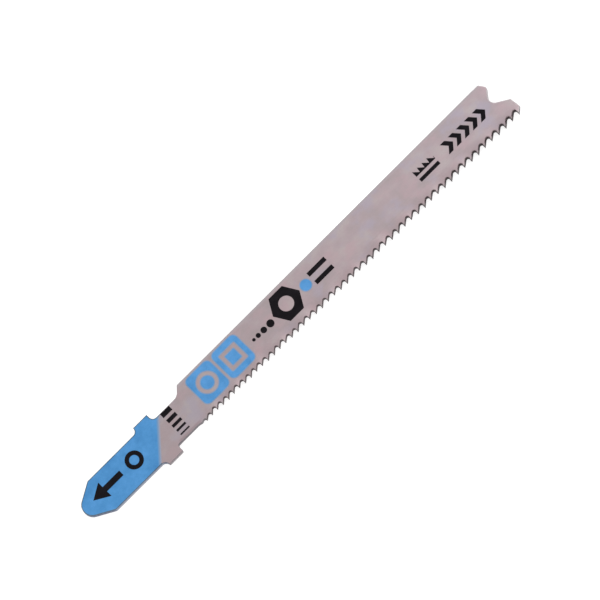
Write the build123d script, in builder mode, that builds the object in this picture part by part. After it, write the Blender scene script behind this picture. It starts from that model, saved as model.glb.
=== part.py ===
from build123d import *
from math import asin, atan2, ceil, cos, degrees, hypot, pi, radians, sin, tan
import os

# A jigsaw blade with a T-shaped shank, laid flat, in millimetres.
# X runs from the shank to the nose, Z points up out of the printed face,
# the teeth point to -Y and the back edge faces +Y.
# The origin lies on the shank's centreline, on the underside,
# in the plane of the two lug shoulders that the saw's clamp pulls on.

# Strip
thickness = 1.0
overall_length = 92.0

# Shank, from its tip to the lug shoulders
shank_length = 17.5
shank_width = 6.45
tip_radius = 1.8
tip_angle = 60.0
flank_radius = 0.5
lug_length = 2.93
lug_height = 0.875
lug_rear_land = 0.075
lug_rear_lean = 0.1
lug_corner_radius = 0.1

# Neck, between the lugs and the body
neck_to_back = 2.70
neck_to_teeth = 2.87
neck_back_root_radius = 0.8
neck_teeth_root_radius = 0.4

# Body
back_offset = 4.05
back_start = 6.53
back_ramp_angle = 48.0
back_ramp_radius = 1.55

# Nose, with setbacks measured from the end and offsets from the centreline
back_corner_setback = 2.24
back_corner_radius = 0.25
upper_horn_setback = 1.47
upper_horn_offset = 2.89
upper_horn_radius = 0.35
notch_setback = 3.18
notch_offset = 0.65
notch_radius = 1.1
lower_horn_setback = 0.20
lower_horn_offset = 1.20
lower_horn_radius = 0.12
heel_offset = 3.0

# Teeth, whose pitch grows from the shank to the nose
first_tip = 5.99
first_tip_height = 0.38
teeth_ramp_length = 1.39
teeth_ramp_angle = 12.5
last_tip_setback = 0.95
pitch_at_shank = 1.145
pitch_at_middle = 1.37
pitch_at_nose = 1.488
tooth_line_slope = 0.0093
rake_angle = 1.0
gullet_radius = 0.31
gullet_depth_at_shank = 0.70
gullet_depth_at_nose = 0.88
first_gullet_depth = 0.40
lead_in_gullets = 2

# Wavy set
teeth_per_wave = 4
set_offset = 0.28
set_height = 2.3
set_bend = 0.5
set_phase = 0.67
set_lead_in = 4
flat_sections = 12

# Stock beyond the teeth and faces, cut away with the waste
trim = 0.25
waste = 1.0

shank_tip = -shank_length
nose = overall_length - shank_length
last_tip = nose - last_tip_setback
toothed_length = last_tip - first_tip
mean_pitch = (pitch_at_shank + 4 * pitch_at_middle + pitch_at_nose) / 6
gap_count = round(toothed_length / mean_pitch)
tooth_line_offset = neck_to_teeth + first_tip_height
waste_edge = -(tooth_line_offset + tooth_line_slope * toothed_length + 2 * waste)
set_start = set_phase - teeth_per_wave / 2


def tip_x(count):
    """Place along the blade of a tooth tip, for any count, whole or not.

    The pitch runs as a parabola through its values at the shank, middle and nose.
    """
    share = count / gap_count
    rise = 4 * pitch_at_middle - 3 * pitch_at_shank - pitch_at_nose
    bend = 2 * (pitch_at_shank - 2 * pitch_at_middle + pitch_at_nose)
    pitch_sum = share * (pitch_at_shank + share * (rise / 2 + share * bend / 3))
    return first_tip + toothed_length * pitch_sum / mean_pitch


def tooth_line_y(x):
    """Line through the tooth tips, which opens away from the back edge."""
    return -(tooth_line_offset + tooth_line_slope * (x - first_tip))


def floor_depth(count):
    """Depth of the gullet after a tooth, which grows with the pitch.

    The first gullets are shallower, as the cutter runs in there.
    """
    growth = count / gap_count * (gullet_depth_at_nose - gullet_depth_at_shank)
    full_depth = gullet_depth_at_shank + growth
    share = min(1.0, (count + 1) / lead_in_gullets)
    return first_gullet_depth + share * (full_depth - first_gullet_depth)


def set_lean(count):
    """Sideways lean at a tooth count, as a share of the full set."""
    wave = sin(2 * pi * (count - set_phase) / teeth_per_wave)
    return wave * max(0.0, min(1.0, (count - set_start) / set_lead_in))


# Outline of the blanked blade, with its toothed edge still uncut
half_shank = shank_width / 2
half_lug = half_shank + lug_height
lug_rear_radius = lug_height - lug_rear_land
back_shoulder = half_lug - neck_to_back
teeth_shoulder = half_lug - neck_to_teeth
back_root_radius = min(neck_back_root_radius, back_shoulder - 2 * lug_corner_radius)
teeth_root_radius = min(neck_teeth_root_radius, teeth_shoulder - 2 * lug_corner_radius)
tip_apex = shank_tip + tip_radius - tip_radius / sin(radians(tip_angle / 2))
flank_end = tip_apex + half_shank / tan(radians(tip_angle / 2))
back_ramp_foot = back_start - (back_offset - neck_to_back) / tan(radians(back_ramp_angle))
teeth_ramp_start = first_tip - teeth_ramp_length
ramp_cut_x = first_tip - gullet_radius
ramp_cut_y = -(neck_to_teeth + (ramp_cut_x - teeth_ramp_start) * tan(radians(teeth_ramp_angle)))
heel = (nose, -heel_offset)
lower_horn = (nose - lower_horn_setback, -lower_horn_offset)
end_slope = (heel[0] - lower_horn[0]) / (heel[1] - lower_horn[1])
end_waste = (heel[0] + end_slope * (waste_edge - heel[1]), waste_edge)

corners = [
    ((tip_apex, 0), tip_radius),
    ((flank_end, -half_shank), flank_radius),
    ((-lug_length - lug_rear_lean, -half_shank), lug_rear_radius),
    ((-lug_length, -half_lug), 0),
    ((0, -half_lug), lug_corner_radius),
    ((0, -neck_to_teeth), teeth_root_radius),
    ((teeth_ramp_start, -neck_to_teeth), 0),
    ((ramp_cut_x, ramp_cut_y), 0),
    ((ramp_cut_x, waste_edge), 0),
    (end_waste, 0),
    (lower_horn, lower_horn_radius),
    ((nose - notch_setback, notch_offset), notch_radius),
    ((nose - upper_horn_setback, upper_horn_offset), upper_horn_radius),
    ((nose - back_corner_setback, back_offset), back_corner_radius),
    ((back_start, back_offset), 0),
    ((back_ramp_foot, neck_to_back), back_ramp_radius),
    ((0, neck_to_back), back_root_radius),
    ((0, half_lug), lug_corner_radius),
    ((-lug_length, half_lug), 0),
    ((-lug_length - lug_rear_lean, half_shank), lug_rear_radius),
    ((flank_end, half_shank), flank_radius),
]

with BuildSketch() as outline:
    with BuildLine():
        FilletPolyline(
            [point for point, radius in corners],
            radius=[radius for point, radius in corners],
            close=True,
        )
    make_face()

# Band along the teeth that carries the wavy set, from where it is still flat
section_step = teeth_per_wave / 4
section_count = ceil((gap_count + 2 - set_start) / section_step) + 1
band_start = tip_x(set_start)
band_end = nose + waste

with BuildSketch() as band_zone:
    add(outline.sketch)
    with BuildLine():
        Polyline(
            (band_start, tooth_line_y(band_start) + set_height),
            (band_end, tooth_line_y(band_end) + set_height),
            (band_end, waste_edge - waste),
            (band_start, waste_edge - waste),
            close=True,
        )
    make_face(mode=Mode.INTERSECT)

# Its sections stand a quarter wave apart, on the crests and the crossings.
# Flat ones lead in, well ahead of the band, and keep its start free of ripples.
with BuildPart() as band:
    for step in range(-flat_sections, section_count):
        count = set_start + step * section_step
        x = tip_x(count)
        root_y = tooth_line_y(x) + set_height
        bend_y = root_y - set_bend
        edge_y = tooth_line_y(x) - trim
        edge_shift = set_lean(count) * set_offset * (bend_y - edge_y) / (set_height - set_bend)
        with BuildSketch(Plane.YZ.offset(x)):
            with BuildLine():
                Bezier((root_y, 0), (bend_y, 0), (edge_y, edge_shift))
                Line((edge_y, edge_shift), (edge_y, edge_shift + thickness))
                Bezier((edge_y, edge_shift + thickness), (bend_y, thickness), (root_y, thickness))
                Line((root_y, thickness), (root_y, 0))
            make_face()
    loft()
    with BuildSketch(Plane.XY.offset(-waste)):
        add(band_zone.sketch)
    extrude(amount=thickness + 2 * waste, mode=Mode.INTERSECT)

# Blade: flat blank, set band, and the gullets milled through both
with BuildPart() as blade:
    with BuildSketch():
        add(outline.sketch)
        add(band_zone.sketch, mode=Mode.SUBTRACT)
    extrude(amount=thickness)
    add(band.part)
    with BuildSketch(Plane.XY.offset(-waste)):
        with BuildLine():
            rake = radians(rake_angle)
            tip = (tip_x(-1), tooth_line_y(tip_x(-1)))
            Line((tip[0], waste_edge - waste), tip)
            for count in range(-1, gap_count):
                next_x = tip_x(count + 1)
                next_tip = (next_x, tooth_line_y(next_x))
                depth = floor_depth(count)
                radius = min(gullet_radius, 0.8 * depth)
                center_y = next_tip[1] + depth - radius
                rake_run = (depth - radius) * tan(rake)
                center_x = next_x + rake_run - radius / cos(rake)
                rake_top = (center_x + radius * cos(rake), center_y - radius * sin(rake))
                reach = hypot(center_x - tip[0], center_y - tip[1])
                relief = atan2(center_y - tip[1], center_x - tip[0]) + asin(radius / reach)
                relief_length = (reach**2 - radius**2) ** 0.5
                relief_line = PolarLine(tip, relief_length, angle=degrees(relief))
                TangentArc(relief_line @ 1, rake_top, tangent=relief_line % 1)
                Line(rake_top, next_tip)
                tip = next_tip
            heel_slope = (heel[1] - tip[1]) / (heel[0] - tip[0])
            beyond = (band_end, tip[1] + heel_slope * (band_end - tip[0]))
            Polyline(tip, beyond, (band_end, waste_edge - waste), (tip_x(-1), waste_edge - waste))
        make_face()
    extrude(amount=thickness + 2 * waste, mode=Mode.SUBTRACT)

blade.part.label = "blade"

os.makedirs("parts", exist_ok=True)
export_step(blade.part, "parts/blade.step")
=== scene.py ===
import math

import bmesh
import bpy
from mathutils import Matrix, Vector
from mathutils.bvhtree import BVHTree
from mathutils.geometry import tessellate_polygon


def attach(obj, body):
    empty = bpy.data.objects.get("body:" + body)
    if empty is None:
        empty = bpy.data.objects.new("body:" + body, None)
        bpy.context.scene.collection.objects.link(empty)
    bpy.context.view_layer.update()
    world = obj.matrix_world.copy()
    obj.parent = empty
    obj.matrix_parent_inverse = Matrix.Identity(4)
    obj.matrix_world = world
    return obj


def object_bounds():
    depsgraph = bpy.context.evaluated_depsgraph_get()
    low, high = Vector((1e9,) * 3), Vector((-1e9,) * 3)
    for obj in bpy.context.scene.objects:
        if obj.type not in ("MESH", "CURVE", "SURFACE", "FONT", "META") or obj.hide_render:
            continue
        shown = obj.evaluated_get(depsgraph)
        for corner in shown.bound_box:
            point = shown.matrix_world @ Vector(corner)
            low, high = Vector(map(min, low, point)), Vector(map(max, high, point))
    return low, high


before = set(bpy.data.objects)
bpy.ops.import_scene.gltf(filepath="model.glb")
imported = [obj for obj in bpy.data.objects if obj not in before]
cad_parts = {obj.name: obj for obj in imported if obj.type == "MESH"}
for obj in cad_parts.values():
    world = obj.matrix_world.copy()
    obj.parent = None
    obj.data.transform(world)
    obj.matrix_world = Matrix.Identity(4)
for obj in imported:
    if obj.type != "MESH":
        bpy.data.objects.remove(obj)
cad_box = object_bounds()
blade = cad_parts["blade"]

# Sizes and places are in millimetres in the row frame, where no other unit is named

MM = 0.001
TOP = 1.0
FIRST_TIP = (5.99, -3.25)
TOOTH_LINE_SLOPE = 0.0093
EDGE_BREAK = 0.11

# Printed layers: their thickness, how far their edge sinks into the steel, and their faces' size

INK_HEIGHT = 0.012
INK_DEPTH = 0.010
INK_FACE = 0.35

# Rays down onto the blade's face start this high, and points closer than these are merged

RAY_START = 10
WELD = 1e-4
FINE_WELD = 1e-5


# Printed shapes, each a list of loops of points, the outer loop first

def rectangle(x0, y0, x1, y1):
    return [[(x0, y0), (x1, y0), (x1, y1), (x0, y1)]]


def circle(x, y, radius, steps=64):
    turns = [2 * math.pi * i / steps for i in range(steps)]
    return [(x + radius * math.cos(a), y + radius * math.sin(a)) for a in turns]


def rounded(x0, y0, x1, y1, radius, steps=10):
    corners = [(x1 - radius, y1 - radius), (x0 + radius, y1 - radius),
               (x0 + radius, y0 + radius), (x1 - radius, y0 + radius)]
    loop = []
    for quarter, (x, y) in enumerate(corners):
        for i in range(steps + 1):
            a = math.pi / 2 * (quarter + i / steps)
            loop.append((x + radius * math.cos(a), y + radius * math.sin(a)))
    return loop


def hexagon(x, y, across):
    radius = across / math.sqrt(3)
    turns = [math.pi / 3 * i for i in range(6)]
    return [(x + radius * math.cos(a), y + radius * math.sin(a)) for a in turns]


def arrow(tip, neck, end, y, half_head, half_shaft):
    return [[(tip, y), (neck, y - half_head), (neck, y - half_shaft), (end, y - half_shaft),
             (end, y + half_shaft), (neck, y + half_shaft), (neck, y + half_head)]]


def saw_form(x, y, teeth, pitch, height, run, root, end_height):
    """A row of teeth, each with its tip over its left end."""
    loop = [(x, y)]
    for i in range(teeth):
        left = x + pitch * i
        loop += [(left, y + height), (left + run, y + root)]
    end = x + pitch * teeth
    return [[*loop, (end, y + end_height), (end, y)]]


def chevron(x, y, height, width, stroke):
    half = height / 2
    return [[(x, y - half), (x + stroke, y - half), (x + width, y), (x + stroke, y + half),
             (x, y + half), (x + width - stroke, y)]]


# Building a printed layer that follows the face under it

steel_body = bmesh.new()
steel_body.from_mesh(blade.data)
bmesh.ops.remove_doubles(steel_body, verts=steel_body.verts, dist=WELD * MM)
steel_tree = BVHTree.FromBMesh(steel_body)


def face_height(x, y):
    """Height of the blade's upper face under a point, in metres as the point is."""
    hit = steel_tree.ray_cast(Vector((x, y, RAY_START * MM)), Vector((0, 0, -1)))
    return hit[0].z if hit[0] else TOP * MM


def split(layer, place, normal, clear=False):
    """Cuts a layer along a plane, and may clear what lies beyond it."""
    bmesh.ops.bisect_plane(layer, geom=layer.verts[:] + layer.edges[:] + layer.faces[:],
                           plane_co=place, plane_no=normal, dist=FINE_WELD * MM,
                           clear_outer=clear)


def lay_down(layer, thickness=INK_HEIGHT):
    """Cuts a flat layer into small faces, sets it on the blade's face and gives it its edge."""
    for axis in (0, 1):
        values = [v.co[axis] for v in layer.verts]
        low, high = min(values), max(values)
        cuts = int((high - low) / (INK_FACE * MM))
        for i in range(1, cuts + 1):
            place, normal = Vector((0, 0, 0)), Vector((0, 0, 0))
            place[axis] = low + (high - low) * i / (cuts + 1)
            normal[axis] = 1
            split(layer, place, normal)
    bmesh.ops.remove_doubles(layer, verts=layer.verts, dist=FINE_WELD * MM)
    for v in layer.verts:
        v.co.z = face_height(v.co.x, v.co.y) + thickness * MM
    bmesh.ops.recalc_face_normals(layer, faces=layer.faces)
    if sum(f.normal.z for f in layer.faces) < 0:
        bmesh.ops.reverse_faces(layer, faces=layer.faces)
    outline = [e for e in layer.edges if e.is_boundary]
    made = bmesh.ops.extrude_edge_only(layer, edges=outline)["geom"]
    for v in (item for item in made if isinstance(item, bmesh.types.BMVert)):
        v.co.z -= (thickness + INK_DEPTH) * MM
    bmesh.ops.recalc_face_normals(layer, faces=layer.faces)


def add_piece(name, layer, material):
    mesh = bpy.data.meshes.new(name)
    layer.to_mesh(mesh)
    layer.free()
    piece = bpy.data.objects.new(name, mesh)
    bpy.context.scene.collection.objects.link(piece)
    mesh.materials.append(material)
    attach(piece, "root")


def printed(name, shapes, material, thickness=INK_HEIGHT):
    layer = bmesh.new()
    for loops in shapes:
        flat = [[Vector((x * MM, y * MM, 0)) for x, y in loop] for loop in loops]
        verts = [layer.verts.new(point) for loop in flat for point in loop]
        for corners in tessellate_polygon(flat):
            layer.faces.new([verts[i] for i in corners])
    lay_down(layer, thickness)
    add_piece(name, layer, material)


# Shader nodes

def srgb(red, green, blue):
    """A linear colour from display values of 0 to 255."""
    def linear(v):
        v /= 255
        return v / 12.92 if v <= 0.04045 else ((v + 0.055) / 1.055) ** 2.4
    return linear(red), linear(green), linear(blue)


def grey(level):
    return level, level, level


def new_material(name):
    material = bpy.data.materials.new(name)
    material.use_nodes = True
    tree = material.node_tree
    tree.nodes.clear()
    out = tree.nodes.new("ShaderNodeOutputMaterial")
    shader = tree.nodes.new("ShaderNodeBsdfPrincipled")
    tree.links.new(shader.outputs["BSDF"], out.inputs["Surface"])
    return material, tree, shader


def connect(tree, socket, value):
    """Feeds a socket from another socket, a colour or a number."""
    if isinstance(value, bpy.types.NodeSocket):
        tree.links.new(value, socket)
    elif isinstance(value, tuple):
        socket.default_value = (*value, 1)
    else:
        socket.default_value = value


def node(tree, kind, links=None, **values):
    """Adds a node, with its sockets linked and its sockets or settings given values."""
    made = tree.nodes.new("ShaderNode" + kind)
    for key, value in values.items():
        if key in made.inputs:
            made.inputs[key].default_value = value
        else:
            setattr(made, key, value)
    for key, source in (links or {}).items():
        tree.links.new(source, made.inputs[key])
    return made


def part_of(tree, vector, axis):
    return node(tree, "SeparateXYZ", {"Vector": vector}).outputs[axis]


def noise(tree, source, stretch, scale, detail, roughness=0.55):
    """Noise over the object's own coordinates, stretched by a factor on each axis."""
    mapping = node(tree, "Mapping", {"Vector": source}, Scale=stretch)
    made = node(tree, "TexNoise", {"Vector": mapping.outputs["Vector"]},
                Scale=scale, Detail=detail, Roughness=roughness)
    return made.outputs["Fac"]


def ramp(tree, source, stops):
    made = node(tree, "ValToRGB", {"Fac": source})
    elements = made.color_ramp.elements
    while len(elements) < len(stops):
        elements.new(0.5)
    for element, (position, color) in zip(elements, stops):
        element.position = position
        element.color = (*color, 1)
    return made.outputs["Color"]


def spread(tree, source, low, high, to_low=0.0, to_high=1.0, smooth=True):
    """A value carried from one span to another, clamped."""
    made = tree.nodes.new("ShaderNodeMapRange")
    made.interpolation_type = "SMOOTHSTEP" if smooth else "LINEAR"
    tree.links.new(source, made.inputs["Value"])
    made.inputs["From Min"].default_value = low
    made.inputs["From Max"].default_value = high
    made.inputs["To Min"].default_value = to_low
    made.inputs["To Max"].default_value = to_high
    return made.outputs["Result"]


def along(tree, place, span, to_low=0.0, to_high=1.0, smooth=True):
    """A value that changes over a span of places given in millimetres."""
    return spread(tree, place, span[0] * MM, span[1] * MM, to_low, to_high, smooth)


def mix(tree, share, a, b, blend="MIX"):
    made = tree.nodes.new("ShaderNodeMix")
    made.data_type = "RGBA"
    made.blend_type = blend
    for index, value in ((0, share), (6, a), (7, b)):
        connect(tree, made.inputs[index], value)
    return made.outputs[2]


def maths(tree, operation, a, b=0.0):
    made = tree.nodes.new("ShaderNodeMath")
    made.operation = operation
    for socket, value in zip(made.inputs, (a, b)):
        connect(tree, socket, value)
    return made.outputs[0]


def total(tree, first, *others):
    for value in others:
        first = maths(tree, "ADD", first, value)
    return first


def product(tree, first, *others):
    for value in others:
        first = maths(tree, "MULTIPLY", first, value)
    return first


# Steel: noise scales, in cells to the metre

CLOUD_SCALE = 380
TINT_SCALE = 330
STREAK_SCALE = 5200
BLAST_SCALE = 7000
CUTTER_SCALE = 6500

# Steel: spans over which the face changes, along the blade, across it or above the tooth tips

SHADE_SPAN = (-4, 74)
FACE_NEAR_TEETH = (-1.3, -3.0)
TIP_BAND = (0.60, 0.20)
TIP_BAND_START = (5.0, 5.6)
BACK_BAND = (3.50, 3.92)
NECK_BAND = (-2.35, -2.60)
NECK_BAND_START = (0.4, 1.0)
NECK_BAND_END = (5.6, 4.8)

# Steel: the same for the walls, and their facings, which are parts of a normal of length 1

SIDE_FACING = (0.75, 0.45)
TEETH_SIDE = (-2.0, -2.4)
NECK_START = (0.1, 0.4)
TEETH_START = (5.75, 6.00)
TEETH_END = (73.66, 73.58)
SPRAYED = (-3.0, -3.6)
SHANK_WALLS = (0.2, -0.2)
FACING_SHANK_END = (-0.20, -0.50)
MILLED_TIPS = (0.0, 0.40)
# Painted shade in the gullets: along the blade, and in height above the tips
GULLET_SHADE_SPAN = (30, 72)
GULLET_SHADE_HEIGHT = (0.25, 0.60)

# Steel: the same for the edges, their growth in shares of the edge break, the painted highlight
# at the nose, and the painted shade on the crowns and rake sides of the teeth

SHANK_EDGES = (1.5, 0.5)
NOSE_EDGES = (70.5, 71.5)
EDGES_WIDEN = (5, 70)
WIDEST = 1.25
WIDER_AT_NOSE = 0.8
CROWNS = (30, 73)
CROWN_HEIGHT = (0.30, 0.62)
WIDER_AT_CROWNS = 2.9
EDGE_MEETING = (0.9990, 0.94)
# Painted shade on the rake sides: along the blade, and by the facing of the rounded normal
RAKE_SHADE_SPAN = (10, 70)
RAKE_SHADE_FACING = (-0.18, -0.42)


def face_color(tree, place, above_tips, streaks, blasting):
    """The blasted face: cloudy, with painted shade that darkens it towards the shank and
    lightens it at the nose, and with bands along its edges.
    """
    x, y = part_of(tree, place, 0), part_of(tree, place, 1)
    clouds = noise(tree, place, (0.8, 1, 1), CLOUD_SCALE, 3)
    tint = noise(tree, place, (0.8, 1, 1), TINT_SCALE, 3)
    color = ramp(tree, clouds, [(0.32, srgb(168, 155, 157)), (0.50, srgb(175, 159, 163)),
                                (0.68, srgb(180, 168, 169))])
    violet = spread(tree, tint, 0.50, 0.70, 0.0, 0.75)
    color = mix(tree, violet, color, srgb(172, 162, 174))
    pink = spread(tree, tint, 0.50, 0.30, 0.0, 0.75)
    color = mix(tree, pink, color, srgb(183, 160, 165))

    # Painted shade and light along the blade: darker towards the shank, lighter at the nose
    shade = ramp(tree, along(tree, x, SHADE_SPAN, smooth=False),
                 [(0.0, (0.865, 0.87, 0.86)), (0.63, grey(0.985)), (1.0, (1.03, 1.04, 1.05))])
    fine = ramp(tree, streaks, [(0.30, grey(0.985)), (0.70, grey(1.015))])
    grit = ramp(tree, blasting, [(0.30, grey(0.93)), (0.70, grey(1.06))])
    for layer in (shade, fine, grit):
        color = mix(tree, 1.0, color, layer, "MULTIPLY")

    near_teeth = along(tree, y, FACE_NEAR_TEETH, to_high=0.40)
    at_tips = product(tree, along(tree, above_tips, TIP_BAND, to_high=0.6),
                      along(tree, x, TIP_BAND_START))
    at_back = along(tree, y, BACK_BAND, to_high=0.6)
    on_neck = product(tree, along(tree, x, NECK_BAND_START), along(tree, x, NECK_BAND_END),
                      along(tree, y, NECK_BAND, to_high=0.6))
    color = mix(tree, near_teeth, color, srgb(168, 149, 152))
    color = mix(tree, at_tips, color, srgb(160, 157, 156))
    color = mix(tree, at_back, color, srgb(172, 165, 168))
    return mix(tree, on_neck, color, srgb(146, 128, 131))


def wall_color(tree, x, normal, above_tips, cutter, teeth_side, in_teeth):
    """The walls: sheared, touched by the blue spray at the shank, and milled in the teeth, where
    their dark colour is partly a duller milled finish and partly painted shade.
    """
    sheared = ramp(tree, cutter, [(0.25, srgb(124, 115, 117)), (0.55, srgb(147, 138, 140)),
                                  (0.80, srgb(168, 160, 162))])
    sprayed = ramp(tree, cutter, [(0.25, srgb(112, 119, 137)), (0.55, srgb(136, 144, 163)),
                                  (0.80, srgb(158, 166, 184))])
    shadowed = ramp(tree, cutter, [(0.25, srgb(62, 72, 98)), (0.80, srgb(98, 112, 140))])
    neck = ramp(tree, cutter, [(0.25, srgb(84, 74, 80)), (0.75, srgb(122, 112, 119))])
    # Milled walls: a duller finish darkened by painted shade, the gullet floors more than the
    # tips
    gullet = ramp(tree, cutter, [(0.25, srgb(72, 54, 57)), (0.85, srgb(100, 82, 85))])
    tip = ramp(tree, cutter, [(0.25, srgb(82, 72, 73)), (0.85, srgb(122, 112, 113))])

    shank_end = product(tree, along(tree, x, SHANK_WALLS),
                        spread(tree, part_of(tree, normal, 0), *FACING_SHANK_END))
    color = mix(tree, along(tree, x, SPRAYED), sheared, sprayed)
    color = mix(tree, shank_end, color, shadowed)
    color = mix(tree, teeth_side, color, neck)
    # Painted shade: the milled walls turn near black deep in the gullets and towards the nose
    painted_gullet_shade = product(tree, along(tree, x, GULLET_SHADE_SPAN, to_high=0.95),
                       along(tree, above_tips, GULLET_SHADE_HEIGHT, to_low=0.1))
    milled = mix(tree, along(tree, above_tips, MILLED_TIPS), tip, gullet)
    milled = mix(tree, painted_gullet_shade, milled, srgb(32, 20, 22))
    return mix(tree, in_teeth, color, milled)


def edge_colors_and_painted_light(tree, color, x, normal, above_tips, in_teeth, blasting):
    """Colours the broken edges, with a painted highlight at the nose and painted shade in the
    teeth, and gives the colour and the rounded normal.
    """
    at_nose = along(tree, x, NOSE_EDGES)
    crowns = product(tree, along(tree, above_tips, CROWN_HEIGHT), along(tree, x, CROWNS),
                     in_teeth)
    width = total(tree, along(tree, x, EDGES_WIDEN, 1.0, WIDEST),
                  product(tree, at_nose, WIDER_AT_NOSE),
                  product(tree, crowns, WIDER_AT_CROWNS))
    radius = product(tree, width, EDGE_BREAK * MM)
    rounded_normal = node(tree, "Bevel", {"Radius": radius}, samples=8).outputs["Normal"]

    meeting = node(tree, "VectorMath", {0: rounded_normal, 1: normal},
                   operation="DOT_PRODUCT").outputs["Value"]
    edge_share = product(tree, spread(tree, meeting, *EDGE_MEETING),
                   spread(tree, blasting, 0.35, 0.60, to_low=0.55))
    edge = mix(tree, along(tree, x, SHANK_EDGES), srgb(146, 141, 142), srgb(48, 56, 78))
    # Painted highlight: the edges at the nose are light, as if they caught the lamp
    edge = mix(tree, at_nose, edge, srgb(212, 208, 209))
    # Painted shade: the edges in the teeth are dark, and those round the gullet floors darker
    # and wider towards the nose
    edge = mix(tree, in_teeth, edge, srgb(66, 50, 52))
    edge = mix(tree, crowns, edge, srgb(34, 16, 20))
    color = mix(tree, edge_share, color, edge)

    # Painted shade on the rake sides of the teeth, on edges that face away from the lamp
    rake_side = spread(tree, part_of(tree, rounded_normal, 0), *RAKE_SHADE_FACING)
    rake_edge_shade = product(tree, rake_side, in_teeth, along(tree, x, RAKE_SHADE_SPAN, to_low=0.05))
    return mix(tree, rake_edge_shade, color, srgb(36, 22, 24)), rounded_normal


def steel_material():
    material, tree, shader = new_material("blasted_steel")
    place = node(tree, "TexCoord").outputs["Object"]
    x, y = part_of(tree, place, 0), part_of(tree, place, 1)
    normal = node(tree, "NewGeometry").outputs["Normal"]
    streaks = noise(tree, place, (0.05, 1, 1), STREAK_SCALE, 4, 0.7)
    blasting = noise(tree, place, (1, 1, 1), BLAST_SCALE, 5, 0.65)
    cutter = noise(tree, place, (1, 1, 0.05), CUTTER_SCALE, 4, 0.7)

    line_start = -(FIRST_TIP[1] + TOOTH_LINE_SLOPE * FIRST_TIP[0]) * MM
    above_tips = total(tree, product(tree, x, TOOTH_LINE_SLOPE), total(tree, y, line_start))
    upright = maths(tree, "ABSOLUTE", part_of(tree, normal, 2))
    on_wall = spread(tree, upright, *SIDE_FACING)
    teeth_side = product(tree, along(tree, x, NECK_START), along(tree, y, TEETH_SIDE))
    in_teeth = product(tree, along(tree, x, TEETH_END), teeth_side,
                       along(tree, x, TEETH_START))

    face = face_color(tree, place, above_tips, streaks, blasting)
    wall = wall_color(tree, x, normal, above_tips, cutter, teeth_side, in_teeth)
    color = mix(tree, on_wall, face, wall)
    color, rounded_normal = edge_colors_and_painted_light(tree, color, x, normal, above_tips, in_teeth, blasting)
    tree.links.new(color, shader.inputs["Base Color"])

    milled = product(tree, on_wall, in_teeth)
    metallic = spread(tree, milled, 0.0, 1.0, 0.85, 0.06)
    specular = spread(tree, milled, 0.0, 1.0, 0.50, 0.05)
    rough = maths(tree, "SUBTRACT", spread(tree, blasting, 0.25, 0.75, 0.40, 0.54),
                  spread(tree, streaks, 0.3, 0.7, to_high=0.04))
    tree.links.new(metallic, shader.inputs["Metallic"])
    tree.links.new(specular, shader.inputs["Specular IOR Level"])
    tree.links.new(rough, shader.inputs["Roughness"])

    height = total(tree, product(tree, blasting, 0.8), product(tree, streaks, 0.2),
                   product(tree, cutter, on_wall))
    bump = node(tree, "Bump", {"Height": height, "Normal": rounded_normal},
                Strength=0.35, Distance=0.012 * MM)
    tree.links.new(bump.outputs["Normal"], shader.inputs["Normal"])
    return material


# Inks. The blue of the shank ends at a slanted line, and thins out towards it.

MOTTLE_SCALE = 600
FIELD_LINE = (Vector((1.17, 2.70, 0)) * MM, Vector((-4.0, -3.2, 0)) * MM)
FIELD_SPREAD = 0.23 * MM
FIELD_THINNING = 3.1 * FIELD_SPREAD

line_way = (FIELD_LINE[1] - FIELD_LINE[0]).normalized()
line_normal = Vector((-line_way.y, line_way.x, 0))
line_point = FIELD_LINE[0] + line_normal * FIELD_SPREAD


def thinned(tree, place, color, plain):
    """Ink that thins out over a span towards the slanted line."""
    off = node(tree, "VectorMath", {0: place}, operation="SUBTRACT")
    off.inputs[1].default_value = line_point
    off = node(tree, "VectorMath", {0: off.outputs["Vector"]}, operation="DOT_PRODUCT")
    off.inputs[1].default_value = -line_normal
    off = spread(tree, off.outputs["Value"], 0.0, FIELD_THINNING, smooth=False)
    thin = ramp(tree, off, [(0.05, srgb(160, 155, 167)), (0.22, srgb(146, 156, 178)),
                            (0.43, srgb(124, 152, 185)), (0.62, srgb(104, 147, 191)),
                            (0.85, srgb(90, 147, 199)), (1.0, plain)])
    return mix(tree, spread(tree, off, 0.55, 1.0), thin, color)


def ink_material(name, dark, plain, light, roughness, shine=0.2, thins=False):
    material, tree, shader = new_material(name)
    place = node(tree, "TexCoord").outputs["Object"]
    mottle = noise(tree, place, (1, 1, 1), MOTTLE_SCALE, 5, 0.65)
    grit = noise(tree, place, (1, 1, 1), BLAST_SCALE, 5, 0.65)
    color = ramp(tree, mottle, [(0.28, dark), (0.50, plain), (0.74, light)])
    if thins:
        color = thinned(tree, place, color, plain)
    fine = ramp(tree, grit, [(0.25, grey(0.90)), (0.75, grey(1.08))])
    color = mix(tree, 1.0, color, fine, "MULTIPLY")
    tree.links.new(color, shader.inputs["Base Color"])
    shader.inputs["Specular IOR Level"].default_value = shine
    rough = spread(tree, grit, 0.25, 0.75, roughness - 0.06, roughness + 0.08)
    tree.links.new(rough, shader.inputs["Roughness"])
    bump = node(tree, "Bump", {"Height": grit}, Strength=0.30, Distance=0.010 * MM)
    tree.links.new(bump.outputs["Normal"], shader.inputs["Normal"])
    return material


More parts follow.
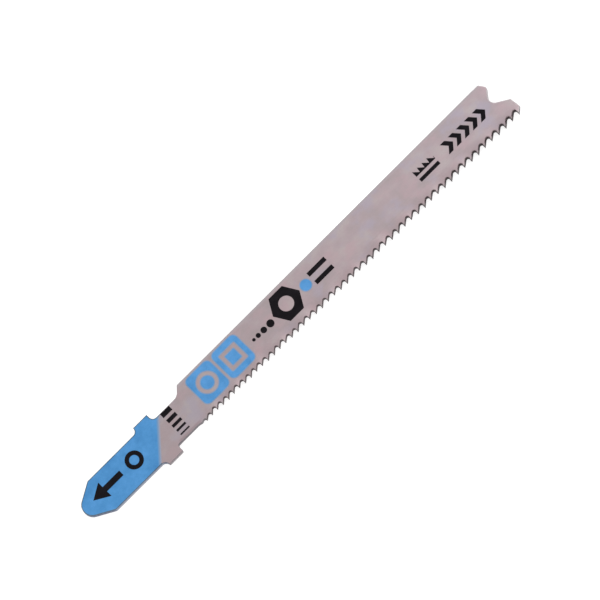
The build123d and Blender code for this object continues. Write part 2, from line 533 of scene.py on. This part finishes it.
blue_ink = ink_material("blue_lacquer", srgb(65, 131, 189), srgb(76, 144, 202),
                        srgb(87, 154, 215), 0.45, thins=True)
rim_ink = ink_material("dark_rim_lacquer", srgb(70, 96, 116), srgb(84, 108, 126),
                       srgb(100, 126, 146), 0.50)
panel_ink = ink_material("blue_panel", srgb(72, 138, 196), srgb(84, 150, 209),
                         srgb(95, 160, 222), 0.45)
halo_ink = ink_material("blue_halo", srgb(124, 148, 178), srgb(132, 154, 184),
                        srgb(142, 160, 188), 0.50)
black_ink = ink_material("black_ink", srgb(16, 14, 17), srgb(21, 18, 22),
                         srgb(30, 27, 31), 0.55, shine=0.06)

# The blade itself

blade.data.materials.clear()
blade.data.materials.append(steel_material())

# Blue field on the shank, inside the outline of the face and up to the slanted line,
# with a darker rim

FIELD_REACH = 8
FIELD_INSET = 0.02
RIM_WIDTH = 0.12
UPWARD = 0.99
AT_TOP = 0.99 * TOP
FLAT_ANGLE = 0.01


def outer_band(layer, width):
    """Draws the outline of a flat layer in, and gives the faces left between."""
    bmesh.ops.inset_region(layer, faces=layer.faces[:], thickness=width * MM, depth=0,
                           use_even_offset=True, use_boundary=True)
    return [f for f in layer.faces if any(e.is_boundary for e in f.edges)]


def drop(layer, faces):
    bmesh.ops.delete(layer, geom=faces, context="FACES")


def on_field(face):
    middle = face.calc_center_median()
    at_top = face.normal.z >= UPWARD and middle.z >= AT_TOP * MM
    return at_top and middle.x <= FIELD_REACH * MM


field = bmesh.new()
field.from_mesh(blade.data)
bmesh.ops.remove_doubles(field, verts=field.verts, dist=WELD * MM)
drop(field, [f for f in field.faces if not on_field(f)])
bmesh.ops.dissolve_limit(field, angle_limit=FLAT_ANGLE, verts=field.verts, edges=field.edges)
drop(field, outer_band(field, FIELD_INSET))
rim = field.copy()
drop(field, outer_band(field, RIM_WIDTH))
kept = set(outer_band(rim, RIM_WIDTH))
drop(rim, [f for f in rim.faces if f not in kept])
for name, layer, ink in (("shank_field", field, blue_ink), ("shank_rim", rim, rim_ink)):
    split(layer, line_point, line_normal, clear=True)
    lay_down(layer)
    add_piece(name, layer, ink)

# Black marks on the shank: an arrow towards the tip, and a ring

SHANK_LINE = 0.36
SHANK_MARK = 1.51
RING_X = -6.3
printed("shank_marks", [
    arrow(tip=-15.2, neck=-12.7, end=-9.1, y=SHANK_LINE, half_head=SHANK_MARK, half_shaft=0.50),
    [circle(RING_X, SHANK_LINE, SHANK_MARK), circle(RING_X, SHANK_LINE, 0.80)],
], black_ink, 2 * INK_HEIGHT)

# Neck: bars that grow in thickness

BAR_GAP = 0.52
bars, bar_y = [], -2.15
for thick in (0.26, 0.38, 0.52, 0.68, 0.86):
    bars.append(rectangle(1.5, bar_y, 3.4, bar_y + thick))
    bar_y += thick + BAR_GAP
printed("neck_marks", bars, black_ink)

# Body: two blue panels with a round and a square tube left bare in them, and a soft edge

PANEL_LOW = -1.85
PANEL_HIGH = 3.65
PANEL_CORNER = 0.9
PIPE = (10.17, 0.90)
HALO_WIDTH = 0.11
HALO_LAP = 0.05


def panel(left, right, grow):
    return rounded(left - grow, PANEL_LOW - grow, right + grow, PANEL_HIGH + grow,
                   PANEL_CORNER + grow)


def tube_panels(grow):
    """The two panels and the cores of their tubes, grown by a width."""
    return [
        [panel(7.6, 12.75, grow), circle(*PIPE, 1.85 - grow)],
        [circle(*PIPE, 1.10 + grow)],
        [panel(13.25, 18.4, grow),
         rounded(14.1 + grow, -0.82 + grow, 17.55 - grow, 2.62 - grow, 0.25 - grow)],
        [rounded(14.85 - grow, -0.07 - grow, 16.8 + grow, 1.87 + grow, 0.12 + grow)],
    ]


printed("panel_halos", tube_panels(HALO_WIDTH), halo_ink)
printed("tube_panels", tube_panels(-HALO_LAP), panel_ink, 2 * INK_HEIGHT)

# Body: dots that grow, a nut and two bars, in black, and a blue disc with a soft edge

MARK_LINE = 0.46
NUT = (27.4, 0.93)
DISC = (31.55, 0.80)
dots = [[circle(x, MARK_LINE, radius)] for x, radius in
        ((19.9, 0.28), (20.85, 0.40), (22.05, 0.52), (23.5, 0.64))]
nut = [hexagon(*NUT, 5.0), circle(*NUT, 1.25)]
sheets = [rectangle(32.9, low, 36.6, low + 0.75) for low in (-0.45, 1.30)]
printed("body_marks", [*dots, nut, *sheets], black_ink)
printed("disc_halo", [[circle(*DISC, 1.04)]], halo_ink)
printed("body_disc", [[circle(*DISC, 0.90)]], panel_ink, 2 * INK_HEIGHT)

# Near the nose: a row of saw teeth over a bar, and chevrons

FORM_START = 55.5
FORM_TEETH = 4
FORM_PITCH = 1.025
CHEVRONS_START = 61.5
CHEVRON_PITCH = 1.75
printed("tooth_form", [
    saw_form(FORM_START, 0.55, FORM_TEETH, FORM_PITCH, height=1.03, run=0.90, root=0.20,
             end_height=0.55),
    rectangle(FORM_START, -0.60, FORM_START + FORM_TEETH * FORM_PITCH, 0.0),
], black_ink)
printed("nose_marks", [
    chevron(CHEVRONS_START + CHEVRON_PITCH * i, MARK_LINE, height=2.13, width=1.85, stroke=0.95)
    for i in range(5)
], black_ink)

# Floor and world, in metres. Both are white to the camera and in reflections.

FLOOR_HALF = 3
FLOOR_GREY = 0.62
FLOOR_GLOW = 0.70
WORLD_LIGHT = 0.925
WHITE = (1, 1, 1, 1)


def seen_directly(tree):
    """1 for camera and glossy rays, else 0."""
    path = node(tree, "LightPath")
    return total(tree, path.outputs["Is Camera Ray"], path.outputs["Is Glossy Ray"])


def floor_material():
    material = bpy.data.materials.new("floor_white")
    material.use_nodes = True
    tree = material.node_tree
    tree.nodes.clear()
    diffuse = node(tree, "BsdfDiffuse", Color=(*grey(FLOOR_GREY), 1))
    level = product(tree, seen_directly(tree), FLOOR_GLOW)
    glow = node(tree, "Emission", {"Strength": level}, Color=WHITE)
    both = node(tree, "AddShader", {0: diffuse.outputs[0], 1: glow.outputs[0]})
    node(tree, "OutputMaterial", {"Surface": both.outputs[0]})
    return material


def white_world():
    world = bpy.data.worlds.new("studio")
    world.use_nodes = True
    tree = world.node_tree
    tree.nodes.clear()
    level = total(tree, product(tree, seen_directly(tree), 1 - WORLD_LIGHT), WORLD_LIGHT)
    sky = node(tree, "Background", {"Strength": level}, Color=WHITE)
    node(tree, "OutputWorld", {"Surface": sky.outputs[0]})
    return world


def softbox(name, place, aim, size, radiance):
    """A square lamp, aimed at a point, with its places and size in metres."""
    lamp = bpy.data.lights.new(name, "AREA")
    lamp.shape = "SQUARE"
    lamp.size = size
    lamp.energy = radiance * math.pi * size * size
    holder = bpy.data.objects.new(name, lamp)
    bpy.context.scene.collection.objects.link(holder)
    holder.location = place
    holder.rotation_mode = "QUATERNION"
    holder.rotation_quaternion = (Vector(aim) - Vector(place)).to_track_quat("-Z", "Y")


ground = cad_box[0].z
floor_mesh = bpy.data.meshes.new("floor")
floor_mesh.from_pydata([(x * FLOOR_HALF, y * FLOOR_HALF, ground)
                        for x, y in ((-1, -1), (1, -1), (1, 1), (-1, 1))], [], [(0, 1, 2, 3)])
floor_mesh.materials.append(floor_material())
floor = bpy.data.objects.new("floor", floor_mesh)
bpy.context.scene.collection.objects.link(floor)

bpy.context.scene.world = white_world()
softbox("key", place=(0.42, 0.30, 0.42), aim=(0.03, 0, 0), size=0.35, radiance=1.7)

# Camera: far off, along a line that leans 16 degrees to the teeth and 3.5 degrees to the shank,
# so that the walls on those sides show. The blade runs up to the right, at TURN.

TURN = math.radians(45.85)
VIEW = Vector((-0.0612, -0.2807, 1.0)).normalized()
AIM = Vector((29.271, -0.235, TOP)) * MM
PIXELS_PER_MM = 6.481
PICTURE = 600
LENS = 1200
SENSOR = 36

lengthwise = Vector((0, 1, 0)).cross(VIEW).normalized()
crosswise = VIEW.cross(lengthwise)
right = lengthwise * math.cos(TURN) - crosswise * math.sin(TURN)
up = lengthwise * math.sin(TURN) + crosswise * math.cos(TURN)
camera_data = bpy.data.cameras.new("camera")
camera_data.lens = LENS
camera_data.sensor_width = SENSOR
camera_data.clip_start = 0.05
camera_data.clip_end = 20
camera = bpy.data.objects.new("camera", camera_data)
bpy.context.scene.collection.objects.link(camera)
place = AIM + VIEW * (PICTURE / PIXELS_PER_MM * MM * LENS / SENSOR)
camera.matrix_world = Matrix(((right.x, up.x, VIEW.x, place.x),
                              (right.y, up.y, VIEW.y, place.y),
                              (right.z, up.z, VIEW.z, place.z),
                              (0, 0, 0, 1)))
bpy.context.scene.camera = camera
bpy.context.scene.view_settings.view_transform = "Standard"
